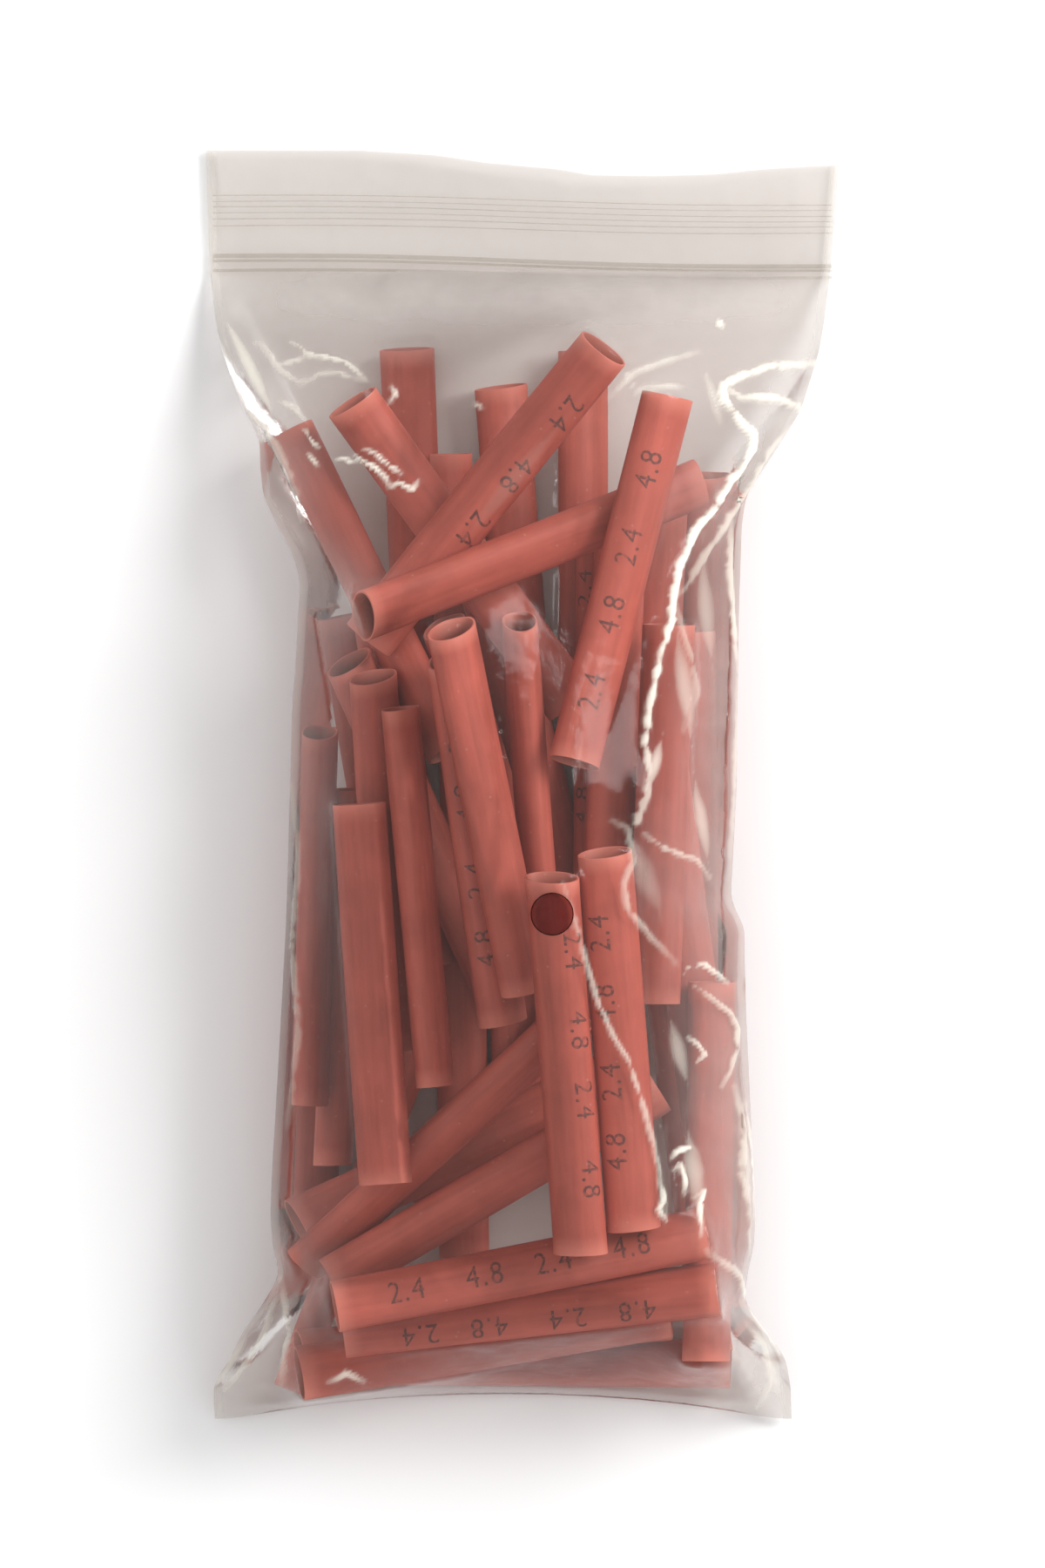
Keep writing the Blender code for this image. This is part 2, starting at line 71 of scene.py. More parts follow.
# Folds in the upper film: height and width in millimetres, strength of the highlight painted along it, and
# the route in photograph pixels
FOLDS = (
    (1.2, 1.0, 0.95, ((950, 416), (925, 421), (880, 427), (845, 440), (822, 452), (823, 469),
        (841, 490), (856, 503), (855, 519), (842, 536), (828, 551), (815, 575), (800, 598), (788, 615),
        (779, 640), (772, 658), (767, 685), (764, 722), (754, 748), (742, 806), (736, 854), (742, 896),
        (739, 912), (725, 946))),
    (0.8, 0.8, 0.60, ((823, 452), (844, 463), (880, 462), (915, 470), (926, 482))),
    (0.9, 0.9, 0.45, ((926, 482), (900, 500), (880, 520), (855, 557), (828, 597), (801, 647),
        (780, 682), (769, 687))),
    (0.7, 0.8, 0.55, ((831, 602), (833, 650), (836, 703), (841, 743), (844, 770))),
    (0.5, 0.7, 0.30, ((700, 466), (724, 439), (745, 431), (761, 426), (800, 412))),
    (0.4, 0.5, 0.35, ((727, 463), (735, 457), (755, 456), (780, 455))),
    (0.7, 0.7, 0.25, ((769, 687), (778, 725), (790, 765), (792, 800), (780, 840))),
    (0.6, 0.9, 0.25, ((845, 780), (842, 850), (838, 920), (834, 980))),
    (0.9, 1.0, 0.35, ((247, 372), (262, 415), (285, 460), (312, 492), (328, 520), (345, 560),
        (354, 600))),
    (0.6, 0.6, 0.40, ((296, 398), (306, 402), (318, 417), (322, 425), (335, 437), (350, 446),
        (366, 442))),
    (0.5, 0.5, 0.60, ((337, 398), (350, 406), (356, 414), (379, 419), (404, 428), (414, 436),
        (423, 446))),
    (0.4, 0.4, 0.55, ((328, 466), (344, 473), (356, 487))),
    (0.4, 0.4, 0.45, ((326, 425), (345, 421), (356, 414))),
    (0.4, 0.4, 0.35, ((352, 450), (372, 438), (392, 438), (420, 447))),
    (0.4, 0.3, 0.95, ((356, 499), (361, 505), (368, 516), (373, 520))),
    (0.4, 0.3, 0.80, ((361, 528), (366, 535), (372, 541))),
    (0.4, 0.3, 0.95, ((393, 534), (402, 535), (413, 538))),
    (0.4, 0.3, 0.90, ((412, 530), (422, 538), (436, 545), (448, 557), (452, 566))),
    (0.4, 0.3, 0.85, ((424, 524), (436, 528), (450, 542), (466, 552))),
    (0.3, 0.3, 0.80, ((450, 568), (462, 562), (478, 570), (484, 560))),
    (0.4, 0.3, 0.60, ((452, 452), (458, 462), (450, 470))),
    (0.3, 0.3, 0.50, ((548, 472), (556, 478))),
    (0.3, 0.4, 0.95, ((823, 374), (828, 380))),
    (0.5, 0.4, 0.42, ((646, 1010), (660, 1055), (671, 1098), (684, 1141), (700, 1178), (719, 1210),
        (735, 1262), (752, 1330), (760, 1385))),
    (0.7, 0.4, 0.65, ((780, 1114), (783, 1106), (801, 1102), (820, 1117), (831, 1125))),
    (0.7, 0.4, 0.50, ((793, 1127), (815, 1143), (833, 1159), (841, 1175), (840, 1199), (831, 1226),
        (823, 1242))),
    (0.5, 0.3, 0.60, ((785, 1185), (795, 1192), (804, 1204), (795, 1212))),
    (0.6, 0.5, 0.85, ((767, 1319), (774, 1311), (783, 1309), (793, 1313))),
    (0.5, 0.4, 0.80, ((769, 1333), (776, 1327), (780, 1359))),
    (0.5, 0.4, 0.85, ((791, 1365), (801, 1357), (797, 1372), (801, 1405))),
    (0.5, 0.4, 0.70, ((752, 1345), (757, 1360), (752, 1376), (760, 1390))),
    (0.8, 0.8, 0.45, ((807, 1423), (815, 1434), (833, 1445), (850, 1472), (868, 1510), (893, 1548))),
    (0.6, 0.5, 0.45, ((838, 1240), (846, 1290), (842, 1340), (850, 1380), (858, 1432))),
    (0.5, 0.6, 0.45, ((850, 1262), (862, 1330), (864, 1390))),
    (0.7, 0.9, 0.35, ((330, 1462), (337, 1485), (341, 1511), (339, 1548), (332, 1578))),
    (0.5, 0.6, 0.55, ((383, 1574), (402, 1562), (421, 1574))),
    (0.5, 0.6, 0.30, ((262, 1590), (290, 1560), (312, 1522), (326, 1478))),
    (0.6, 0.6, 0.30, ((700, 942), (716, 952), (722, 985), (712, 1010), (716, 1040), (745, 1075),
        (770, 1100))),
    (0.5, 0.5, 0.40, ((735, 958), (760, 975), (790, 985), (808, 1005))),
    (0.5, 0.8, 0.25, ((338, 900), (352, 980), (342, 1080), (350, 1180), (336, 1290))),
    (0.4, 0.7, 0.30, ((870, 1612), (880, 1580), (872, 1545), (852, 1510))),
)

# Broad soft glints painted on the film as highlights: middle and end in photograph pixels, half width in
# millimetres, strength
GLINTS = (
    ((292, 426), (322, 482), 0.75, 0.62), ((813, 465), (822, 500), 0.5, 0.25),
    ((748, 878), (740, 905), 0.9, 0.45), ((782, 790), (790, 850), 1.1, 0.30),
    ((800, 940), (806, 985), 0.9, 0.30), ((807, 700), (812, 760), 1.1, 0.22),
    ((790, 1335), (795, 1380), 1.2, 0.30), ((850, 1350), (855, 1420), 0.9, 0.30),
    ((775, 1200), (783, 1235), 1.0, 0.25), ((268, 1560), (292, 1525), 1.0, 0.20),
    ((880, 1560), (893, 1600), 1.0, 0.20), ((590, 560), (640, 500), 1.2, 0.05),
    ((735, 1002), (752, 1045), 1.6, 0.12),
)

# Where the film is milkier, partly its own haze and partly painted sheen: photograph pixels, reach across and
# along in pixels, amount
MILKY = (
    ((822, 640), 28, 90, 0.30), ((812, 820), 34, 120, 0.34), ((815, 1000), 30, 110, 0.26),
    ((800, 1300), 40, 110, 0.20), ((345, 560), 30, 60, 0.20), ((835, 1250), 26, 160, 0.30),
    ((300, 1560), 40, 60, 0.14), ((870, 1560), 40, 70, 0.14), ((600, 1585), 300, 12, 0.14),
    ((600, 348), 420, 34, 0.55), ((905, 480), 40, 70, 0.60), ((285, 430), 40, 60, 0.30),
)

# Where the film lies clear and dark tubes show through it: photograph pixels and reach across and along
CLEAR = (((350, 1160), 50, 280), ((560, 1380), 120, 60), ((560, 900), 150, 250))

# The bag's open top edge, in photograph pixels
TOP_EDGE = ((237, 172), (400, 172), (500, 178), (560, 187), (640, 194), (680, 201), (750, 202),
            (820, 200), (880, 194), (965, 189))

# How far below the top the pouch starts, and the height of the pressed zip's middle
ZIP_FROM_TOP = 14.6 * MM
LIP_HEIGHT = 0.75 * MM

# The open lips above the zip: their length, how far they stand off, and the wave that they hang in
LIP_LENGTH = 12.3 * MM
LIP_STANDS = 0.9 * MM
LIP_WAVE = 0.5 * MM
LIP_WAVE_LENGTH = 11 * MM
LIP_WAVE_START = 0.6

# The vent hole's middle in photograph pixels, and its radius
VENT = (634, 1045)
VENT_RADIUS = 2.45 * MM

# Grip ribs and zip rails: pixels down at the left, radius in millimetres, fall to the right in pixels
ZIP_RIBS = (
    (225, 0.06, 11), (232, 0.05, 10), (238, 0.06, 11), (245, 0.05, 10), (252, 0.06, 9), (260, 0.06, 8),
    (294, 0.24, 12), (300, 0.14, 11), (311, 0.18, 8),
)

# Their faces, cuts, gap from the bag's sides and wave in pixels, and the radius past which one is flatter
RIB_SIDES = 8
RIB_CUTS = 90
RIB_INSET = 0.9 * MM
RIB_WAVE = 2.5
RAIL_FROM = 0.2
RAIL_FLATNESS = 0.55

# How much of the film's crumpling shows around a place: photograph pixels, reach and strength
CRUMPLED = (
    ((820, 560), 95, 1.0), ((840, 800), 70, 0.8), ((800, 1000), 110, 0.9), ((820, 1330), 120, 1.0),
    ((330, 480), 110, 0.9), ((420, 520), 80, 0.7), ((340, 1450), 90, 0.8), ((300, 1580), 80, 0.9),
    ((850, 1560), 90, 0.9), ((600, 1580), 260, 0.35), ((345, 1000), 60, 0.5), ((640, 450), 160, 0.2),
)

# Crumpling of the film elsewhere, and the size and seed of its coarse, fine and ragged folds
LEAST_CRUMPLED = 0.06
COARSE_CRUMPLES = (7.5 * MM, 4.2)
FINE_CRUMPLES = (3.4 * MM, 9.7)
RAGGED_EDGES = (1.7 * MM, 2.4)

# The film's grid: inset from the CAD bag, rows and places that read its edges, crowding of its columns
INSET = 0.05 * MM
EVEN_ROWS = 5
BOTTOM_PLACES = 120
CROWDED, SPREAD = 0.62, 0.38

# The share of the bag over which its ends bend the rows, and the bottom's most
BENT_SHARE = 0.12
MOST_BOTTOM_BEND = 4.2 * MM

# Pulling the upper film flat: on coarse cells first, then on all, with the passes of each
COARSE_STEP = 5
COARSE_PASSES = 1500
FINE_PASSES = 700

# The gap to the tubes where there are none, and the gap past which film sags no further
OPEN_AIR = 9 * MM
MOST_SAG_GAP = 4 * MM

# The lower film: its gaps to tubes, seam and floor, and how wide its sides curl up
UNDER_TUBES = 0.15 * MM
UNDER_SEAM = 0.1 * MM
OVER_FLOOR = 0.05 * MM
CURL_WIDTH = 8 * MM

# Where steep film is made milky as painted sheen: near the sides, and below the top over a run. Then the
# welds' milkiness
MILKY_SIDES = 13 * MM
MILKY_FROM_TOP = 27 * MM
MILKY_RUN = 8 * MM
WELD_VEIL = 0.45

# The tubes that carry ink: place in the heap's order, counted from the last one laid, and its turn
INKED = ((2, 20), (3, -20), (6, -25), (7, 10), (14, 20), (17, 10), (19, 25), (27, -15))

# The print in its two orders, a figure's height and room as shares, how far a print may reach from a
# tube's middle as a share of its length, and the ink's lift
PRINTS = ("2.4    4.8   2.4    4.8", "4.8   2.4    4.8   2.4")
FIGURE_HEIGHT = 0.7
FIGURE_ROOM = 1.15
PRINT_SHARE = 0.47
INK_LIFT = 0.02 * MM

# The seed of the tubes' unevenness, and its shares: pinched ends, a soft dent, and the skew of a cut
TUBE_SEED = 11
PINCHES = (-0.03, 0.06)
DENT_PLACES = (-0.7, 0.7)
DEEPEST_DENT = 0.05
DENT_REACH = 0.18
CUT_SKEW = 0.05

# Where a tube's ends and slants start and their length, in half tubes, and an end that isn't listed
END_FROM, END_LENGTH = 0.9, 0.1
SLANT_FROM, SLANT_LENGTH = 0.55, 0.45
PLAIN_END = (1, 0.06)

# Colours, each in linear red, green, blue and alpha
DUST_RED = (0.62, 0.36, 0.31, 1.0)
BORE_SHADE = (0.42, 0.36, 0.36, 1.0)
# Painted highlight: the lighter red that the tubes' cut rims are mixed towards
RIM_HIGHLIGHT_RED = (0.72, 0.22, 0.16, 1.0)
# Painted shade: dark tints that darken the vent hole's edge and the tube seen through it
RING_SHADE_RED = (0.30, 0.14, 0.12, 1.0)
DISC_SHADE_RED = (0.48, 0.30, 0.30, 1.0)
# Painted highlight: the cream that is painted along the film's folds and glints
FOLD_HIGHLIGHT_CREAM = (1.0, 0.95, 0.83, 1.0)
ZIP_CLEAR = (0.93, 0.92, 0.90, 1.0)
ZIP_GREY = (0.40, 0.385, 0.365, 1.0)

# The stage: the floor's size and drop, and the lamp's place and size
FLOOR_SIZE = 3.0
FLOOR_DROP = 0.0002
KEY_PLACE = (0.55, 0.30, 0.57)
KEY_SIZE = 0.35

# Ends that were cut at a slant and show their bore: tube, which end, and the slant
OPEN_ENDS = {
    4: (1, 0.12), 5: (1, 0.16), 7: (1, 0.25), 18: (1, 0.30), 19: (1, 0.32), 20: (1, 0.20),
    22: (1, 0.25), 23: (1, 0.25), 24: (1, 0.25), 25: (-1, 0.30), 26: (1, 0.45), 28: (1, 0.25),
    29: (1, 0.25), 30: (-1, 0.40), 31: (1, 0.42), 32: (1, 0.28), 33: (1, 0.34), 34: (-1, 0.20),
    36: (-1, 0.25), 41: (-1, 0.10), 42: (-1, 0.15), 43: (1, 0.30), 45: (1, 0.18), 46: (1, 0.22),
    47: (1, 0.10),
}


def photo_place(pixel):
    """A photograph pixel as a place on the floor, in metres."""
    return np.array(((pixel[0] - MIDDLE_PIXEL[0]) * PIXEL, (MIDDLE_PIXEL[1] - pixel[1]) * PIXEL))


def length_setting(name, description, default):
    return FloatProperty(name=name, description=description, default=default, subtype="DISTANCE",
                         unit="LENGTH")


def colour_setting(name, description, default):
    return FloatVectorProperty(name=name, description=description, subtype="COLOR", size=4,
                               default=default, min=0, max=1)


class TubeLooks(bpy.types.PropertyGroup):
    sides: IntProperty(name="Sides", description="Faces around one tube", default=40, min=16)
    rings: IntProperty(name="Rings", description="Cuts along one tube", default=18, min=4)
    wall: length_setting("Wall", "Thickness of the tube's wall", 0.30 * MM)
    rim: length_setting("Rim", "Rounding of the cut rims", 0.05 * MM)
    bow: length_setting("Bow", "Most that a tube's middle bows sideways", 0.12 * MM)
    colour: colour_setting("Red", "The tube's own red", (0.51, 0.102, 0.068, 1.0))
    ink: colour_setting("Ink", "The printed marks' colour", (0.140, 0.036, 0.028, 1.0))
    ink_height: length_setting("Ink height", "Height of the printed numbers", 2.3 * MM)


class FilmLooks(bpy.types.PropertyGroup):
    columns: IntProperty(name="Columns", description="Cells across the upper film", default=220, min=20)
    rows: IntProperty(name="Rows", description="Cells along the upper film", default=410, min=20)
    clearance: length_setting("Clearance", "Air between film and tubes", 0.30 * MM)
    slack: FloatProperty(name="Slack", description="How far the film sags between tubes",
                         default=0.08, min=0, max=1, subtype="FACTOR")
    crumple: length_setting("Crumple", "Height of the small crumples", 0.45 * MM)
    weld: length_setting("Weld", "Width of the welded side edges", 1.1 * MM)
    tint: colour_setting("Upper tint", "Light that passes the upper film", (0.955, 0.945, 0.938, 1.0))
    under_tint: colour_setting("Lower tint", "Light that passes the lower film",
                               (0.880, 0.856, 0.838, 1.0))
    haze: colour_setting("Haze", "Colour of the film's milky haze", (0.86, 0.83, 0.79, 1.0))


class StageLooks(bpy.types.PropertyGroup):
    distance: length_setting("Camera distance", "Height of the camera over the floor", 1.2)
    floor: colour_setting("Floor", "The pale floor's colour", (0.95, 0.95, 0.95, 1.0))
    key: FloatProperty(name="Key light", description="Power of the light from the upper right",
                       default=4.9, subtype="POWER")
    sky: FloatProperty(name="Sky", description="Strength of the even studio light", default=0.82)


def start_fresh():
    """Object mode with nothing selected."""
    if bpy.context.mode != "OBJECT":
        bpy.ops.object.mode_set(mode="OBJECT")
    bpy.ops.object.select_all(action="DESELECT")


def mesh_points(mesh):
    """A mesh's corners as an array, in metres."""
    points = np.empty(len(mesh.vertices) * 3, np.float32)
    mesh.vertices.foreach_get("co", points)
    return points.reshape(-1, 3).astype(float)


def set_mesh_points(mesh, points):
    mesh.vertices.foreach_set("co", np.ascontiguousarray(points, np.float32).reshape(-1))
    mesh.update()


def read_lie(node):
    """Where a CAD tube lies: its longest way is its axis, the next one is the oval's wide way."""
    points = mesh_points(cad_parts[node].data)
    centre = points.mean(0)
    _, _, ways = np.linalg.svd(points - centre, full_matrices=False)
    along, wide = ways[0], ways[1]
    if along[1] < 0:
        along = -along
    narrow = np.cross(along, wide)
    reach = np.abs((points - centre) @ np.array((wide, narrow, along)).T).max(0)
    return Lie(node, centre, wide, narrow, along, reach[0], reach[1], 2 * reach[2])


TUBE_LIES = [read_lie(name) for name in sorted(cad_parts) if name.startswith("tube_")]
WIDEST = max(lie.wide_radius for lie in TUBE_LIES)


def rising(distance, width):
    """0 where there is no distance, rising evenly to 1 over the width."""
    return np.clip(distance / width, 0, 1)


def falling(distance, width):
    """1 where there is no distance, falling evenly to 0 over the width."""
    return np.clip(1 - distance / width, 0, 1)


def bend_tube(points, lie, number, bow):
    """Gives a straight tube its own bow, pinched ends, soft dent and cut ends, in the tube's own frame."""
    chance = np.random.default_rng(number + TUBE_SEED)
    share = points[:, 2] / (lie.length / 2)
    way = chance.uniform(0, 2 * math.pi)
    depth = bow * chance.uniform(0.2, 1.0)
    arch = depth * (1 - share**2)
    pinch = chance.uniform(*PINCHES) * np.abs(share) ** 5
    dent_place, dent = chance.uniform(*DENT_PLACES), chance.uniform(0.0, DEEPEST_DENT)
    soft = dent * np.exp(-(((share - dent_place) / DENT_REACH) ** 2))
    skew = chance.uniform(-CUT_SKEW, CUT_SKEW, 2)
    bent = points.copy()
    bent[:, 0] = points[:, 0] * (1 + 0.5 * pinch - 0.3 * soft) + arch * math.cos(way)
    bent[:, 1] = points[:, 1] * (1 - pinch - soft) + arch * math.sin(way)
    end = rising(np.abs(share) - END_FROM, END_LENGTH)
    bent[:, 2] += end * (points[:, 0] * skew[0] + points[:, 1] * skew[1])
    side, slant = OPEN_ENDS.get(number + 1, PLAIN_END)
    raised = points[:, 0] * lie.wide[2] + points[:, 1] * lie.narrow[2]
    cut = rising(share * side - SLANT_FROM, SLANT_LENGTH) ** 2
    bent[:, 2] -= side * slant * cut * np.clip(raised + lie.narrow_radius, 0, None)
    return bent


def laid(points, lie):
    """Points of a tube's own frame, moved to where the tube lies."""
    return lie.centre + points @ np.array((lie.wide, lie.narrow, lie.along))


def begin_material(name):
    """A new material without nodes, and its node tree."""
    material = bpy.data.materials.new(name)
    material.use_nodes = True
    material.node_tree.nodes.clear()
    return material, material.node_tree


def node(tree, kind, inputs=(), **settings):
    """A shader node with its settings. Its inputs take values or other nodes' outputs."""
    made = tree.nodes.new(kind)
    for name, value in settings.items():
        setattr(made, name, value)
    for name, value in dict(inputs).items():
        if isinstance(value, bpy.types.NodeSocket):
            tree.links.new(value, made.inputs[name])
        else:
            made.inputs[name].default_value = value
    return made


def painted(tree, name):
    """A value that the mesh's points carry."""
    return node(tree, "ShaderNodeAttribute", attribute_name=name).outputs["Fac"]


def clouds(tree, place, scale, detail, roughness=0.5):
    """Noise as a value, at the given place and scale."""
    return node(tree, "ShaderNodeTexNoise", {
        "Vector": place, "Scale": scale, "Detail": detail, "Roughness": roughness}).outputs["Fac"]


def mixed(tree, share, first, second):
    """Two shader nodes mixed by a share, which is a number or another node's output."""
    shaders = {1: first.outputs[0], 2: second.outputs[0]}
    return node(tree, "ShaderNodeMixShader", {0: share, **shaders})


def show(tree, shader):
    """Makes a shader node what the material's surface shows."""
    node(tree, "ShaderNodeOutputMaterial", {"Surface": shader.outputs[0]})


def tube_material(looks):
    """Satin red polyolefin: drawn streaks along the tube, faint blotches and dust, fine grain, painted shade
    in the bores and a painted highlight on the cut rims.
    """
    material, tree = begin_material("red_polyolefin")
    place = node(tree, "ShaderNodeAttribute", attribute_name="tube_place").outputs["Vector"]
    drawn = node(tree, "ShaderNodeMapping", {"Vector": place, "Scale": (1.0, 1.0, 0.06)})
    streaks = clouds(tree, drawn.outputs["Vector"], 900.0, 3.0, 0.6)
    blotches = clouds(tree, place, 170.0, 4.0, 0.65)
    grain = clouds(tree, place, 4200.0, 2.0)
    dust = node(tree, "ShaderNodeTexVoronoi", {"Vector": place, "Scale": 620.0, "Randomness": 1.0})
    tone = node(tree, "ShaderNodeMath", operation="MULTIPLY_ADD",
                inputs={0: streaks, 1: 0.5, 2: 0.0})
    both = node(tree, "ShaderNodeMath", operation="MULTIPLY_ADD",
                inputs={0: blotches, 1: 0.5, 2: tone.outputs[0]})
    reds = node(tree, "ShaderNodeValToRGB", {"Fac": both.outputs[0]})
    dark, light = reds.color_ramp.elements
    dark.position, light.position = 0.36, 0.66
    dark.color = [c * 0.80 for c in looks.colour[:3]] + [1.0]
    light.color = [min(1.0, c * 1.12 + 0.012) for c in looks.colour[:3]] + [1.0]
    # Painted shade: the bore's inner wall is multiplied by BORE_SHADE, so it looks darker as shade in the
    # hollow would
    bore_shaded = node(tree, "ShaderNodeMix", data_type="RGBA", blend_type="MULTIPLY",
                inputs={0: painted(tree, "bore"), 6: reds.outputs["Color"], 7: BORE_SHADE})
    # Painted highlight: the cut rims are mixed towards a lighter red, standing in for light caught on the cut
    rim_highlighted = node(tree, "ShaderNodeMix", data_type="RGBA",
                    inputs={0: painted(tree, "rim"), 6: bore_shaded.outputs[2], 7: RIM_HIGHLIGHT_RED})
    specks = node(tree, "ShaderNodeMapRange", {
        "Value": dust.outputs["Distance"], "From Min": 0.10, "From Max": 0.05, "To Max": 0.35})
    dusty = node(tree, "ShaderNodeMix", data_type="RGBA",
                 inputs={0: specks.outputs["Result"], 6: rim_highlighted.outputs[2], 7: DUST_RED})
    rough = node(tree, "ShaderNodeMapRange", {
        "Value": blotches, "To Min": 0.44, "To Max": 0.66})
    fine = node(tree, "ShaderNodeBump", {
        "Height": grain, "Strength": 0.20, "Distance": 0.00005})
    lines = node(tree, "ShaderNodeBump", {
        "Height": streaks, "Strength": 0.30, "Distance": 0.00006,
        "Normal": fine.outputs["Normal"]})
    show(tree, node(tree, "ShaderNodeBsdfPrincipled", {
        "Base Color": dusty.outputs[2], "Roughness": rough.outputs["Result"], "IOR": 1.5,
        "Specular IOR Level": 0.38, "Normal": lines.outputs["Normal"]}))
    return material


def cut_along(piece, axis, shorter, cuts):
    """Cuts the edges that run along an axis, and none that reach no further than the shorter length."""
    bpy.ops.object.mode_set(mode="EDIT")
    bpy.ops.mesh.select_all(action="DESELECT")
    bpy.ops.mesh.select_mode(type="EDGE")
    shell = bmesh.from_edit_mesh(piece.data)
    for edge in shell.edges:
        edge.select = abs(edge.verts[0].co[axis] - edge.verts[1].co[axis]) > shorter
    bmesh.update_edit_mesh(piece.data)
    bpy.ops.mesh.subdivide(number_cuts=cuts)
    bpy.ops.object.mode_set(mode="OBJECT")


def cover(piece, material):
    """Gives a piece its only material."""
    piece.data.materials.clear()
    piece.data.materials.append(material)


def joined(pieces, name, material):
    """The pieces as one, with its name and its only material."""
    start_fresh()
    for piece in pieces:
        piece.select_set(True)
    bpy.context.view_layer.objects.active = pieces[0]
    bpy.ops.object.join()
    whole = bpy.context.object
    whole.name = name
    cover(whole, material)
    return whole


def model_tube(looks, length):
    """One cut length of round tube with a wall and softly rounded rims, standing on Z."""
    start_fresh()
    bpy.ops.mesh.primitive_cylinder_add(vertices=looks.sides, radius=1.0, depth=1.0,
                                        end_fill_type="NOTHING")
    tube = bpy.context.object
    tube.scale = (WIDEST, WIDEST, length)
    bpy.ops.object.transform_apply(scale=True)
    cut_along(tube, 2, length / 2, looks.rings)
    wall = tube.modifiers.new("wall", "SOLIDIFY")
    wall.thickness = looks.wall
    wall.offset = -1.0
    rims = tube.modifiers.new("rims", "BEVEL")
    rims.width = looks.rim
    rims.segments = 2
    rims.limit_method = "ANGLE"
    rims.angle_limit = math.radians(60)
    for modifier in ("wall", "rims"):
        bpy.ops.object.modifier_apply(modifier=modifier)
    bpy.ops.object.shade_smooth_by_angle(angle=math.radians(50))
    return tube


class TUBEPACK_OT_tubes(bpy.types.Operator):
    """Model one cut tube and lay a copy of it in the place of each tube of the heap"""

    bl_idname = "tubepack.tubes"
    bl_label = "Cut tubes"

    def execute(self, context):
        looks = context.scene.tube_looks
        pattern = model_tube(looks, TUBE_LIES[0].length)
        material = tube_material(looks)
        shape = mesh_points(pattern.data)
        for number, lie in enumerate(TUBE_LIES):
            mesh = pattern.data.copy()
            tube = bpy.data.objects.new(f"cut_{lie.node}", mesh)
            context.collection.objects.link(tube)
            oval = shape * np.array((lie.wide_radius / WIDEST, lie.narrow_radius / WIDEST, 1.0))
            set_mesh_points(mesh, laid(bend_tube(oval, lie, number, looks.bow), lie))
            place = mesh.attributes.new("tube_place", "FLOAT_VECTOR", "POINT")
            own = oval + np.array((0.0, 0.0, 0.1 * number))
            place.data.foreach_set("vector", own.astype(np.float32).reshape(-1))
            # Painted shade: the inner wall's points are marked, so the material darkens them as shade inside
            # the bore
            shaded_bore = np.hypot(shape[:, 0], shape[:, 1]) < WIDEST - 0.9 * looks.wall
            # Painted highlight: points at the cut ends carry the rim mark that lightens them
            ends = np.abs(shape[:, 2]) > lie.length / 2 - 1.2 * looks.rim
            for name, shown in (("bore", shaded_bore), ("rim", 0.75 * ends)):
                mark = mesh.attributes.new(name, "FLOAT", "POINT")
                mark.data.foreach_set("value", shown.astype(np.float32))
            cover(tube, material)
            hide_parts(lie.node)
            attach(tube, "root")
        bpy.data.objects.remove(pattern, do_unlink=True)
        return {"FINISHED"}


def ink_material(looks):
    """Dark ink that has half sunk into the red, worn through in specks."""
    material, tree = begin_material("printed_ink")
    place = node(tree, "ShaderNodeTexCoord")
    wear = clouds(tree, place.outputs["Object"], 2200.0, 3.0)
    shades = node(tree, "ShaderNodeValToRGB", {"Fac": wear})
    dark, worn = shades.color_ramp.elements
    dark.position, worn.position = 0.48, 0.66
    dark.color = tuple(looks.ink)
    worn.color = [c * 0.75 for c in looks.colour[:3]] + [1.0]
    show(tree, node(tree, "ShaderNodeBsdfPrincipled", {
        "Base Color": shades.outputs["Color"], "Roughness": 0.5}))
    return material


def model_numbers(looks, words, length):
    """Plain numbers lying flat along X, cut finely enough to wrap round a tube."""
    start_fresh()
    bpy.ops.object.text_add()
    text = bpy.context.object
    text.data.body = words
    text.data.size = looks.ink_height / FIGURE_HEIGHT
    text.data.align_x, text.data.align_y = "CENTER", "CENTER"
    text.data.space_character = FIGURE_ROOM
    text.data.resolution_u = 3
    bpy.ops.object.convert(target="MESH")
    bpy.ops.object.mode_set(mode="EDIT")
    bpy.ops.mesh.select_all(action="SELECT")
    bpy.ops.mesh.quads_convert_to_tris()
    bpy.ops.mesh.subdivide(number_cuts=3)
    bpy.ops.object.mode_set(mode="OBJECT")
    points = mesh_points(text.data)
    most = np.abs(points[:, 0]).max()
    if most > PRINT_SHARE * length:
        points[:, 0] *= PRINT_SHARE * length / most
        set_mesh_points(text.data, points)
    return text


class TUBEPACK_OT_ink(bpy.types.Operator):
    """Print plain bore numbers along the tubes that show their inked side"""

    bl_idname = "tubepack.ink"
    bl_label = "Printed numbers"

    def execute(self, context):
        looks = context.scene.tube_looks
        prints = []
        for count, (from_last, turn) in enumerate(INKED):
            number = len(TUBE_LIES) - from_last
            lie = TUBE_LIES[number]
            text = model_numbers(looks, PRINTS[count % 2], lie.length)
            flat = mesh_points(text.data)
            upward = math.atan2(lie.narrow[2] * lie.narrow_radius, lie.wide[2] * lie.wide_radius)
            mean = (lie.wide_radius + lie.narrow_radius) / 2
            way = 1 if count % 3 else -1
            angle = upward + math.radians(turn) - way * flat[:, 1] / mean
            skin = 1 + INK_LIFT / mean
            wrapped = np.stack((lie.wide_radius * skin * np.cos(angle),
                                lie.narrow_radius * skin * np.sin(angle), way * flat[:, 0]), axis=1)
            set_mesh_points(text.data, laid(bend_tube(wrapped, lie, number, looks.bow), lie))
            prints.append(text)
        ink = joined(prints, "printed_numbers", ink_material(looks))
        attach(ink, "root")
        return {"FINISHED"}


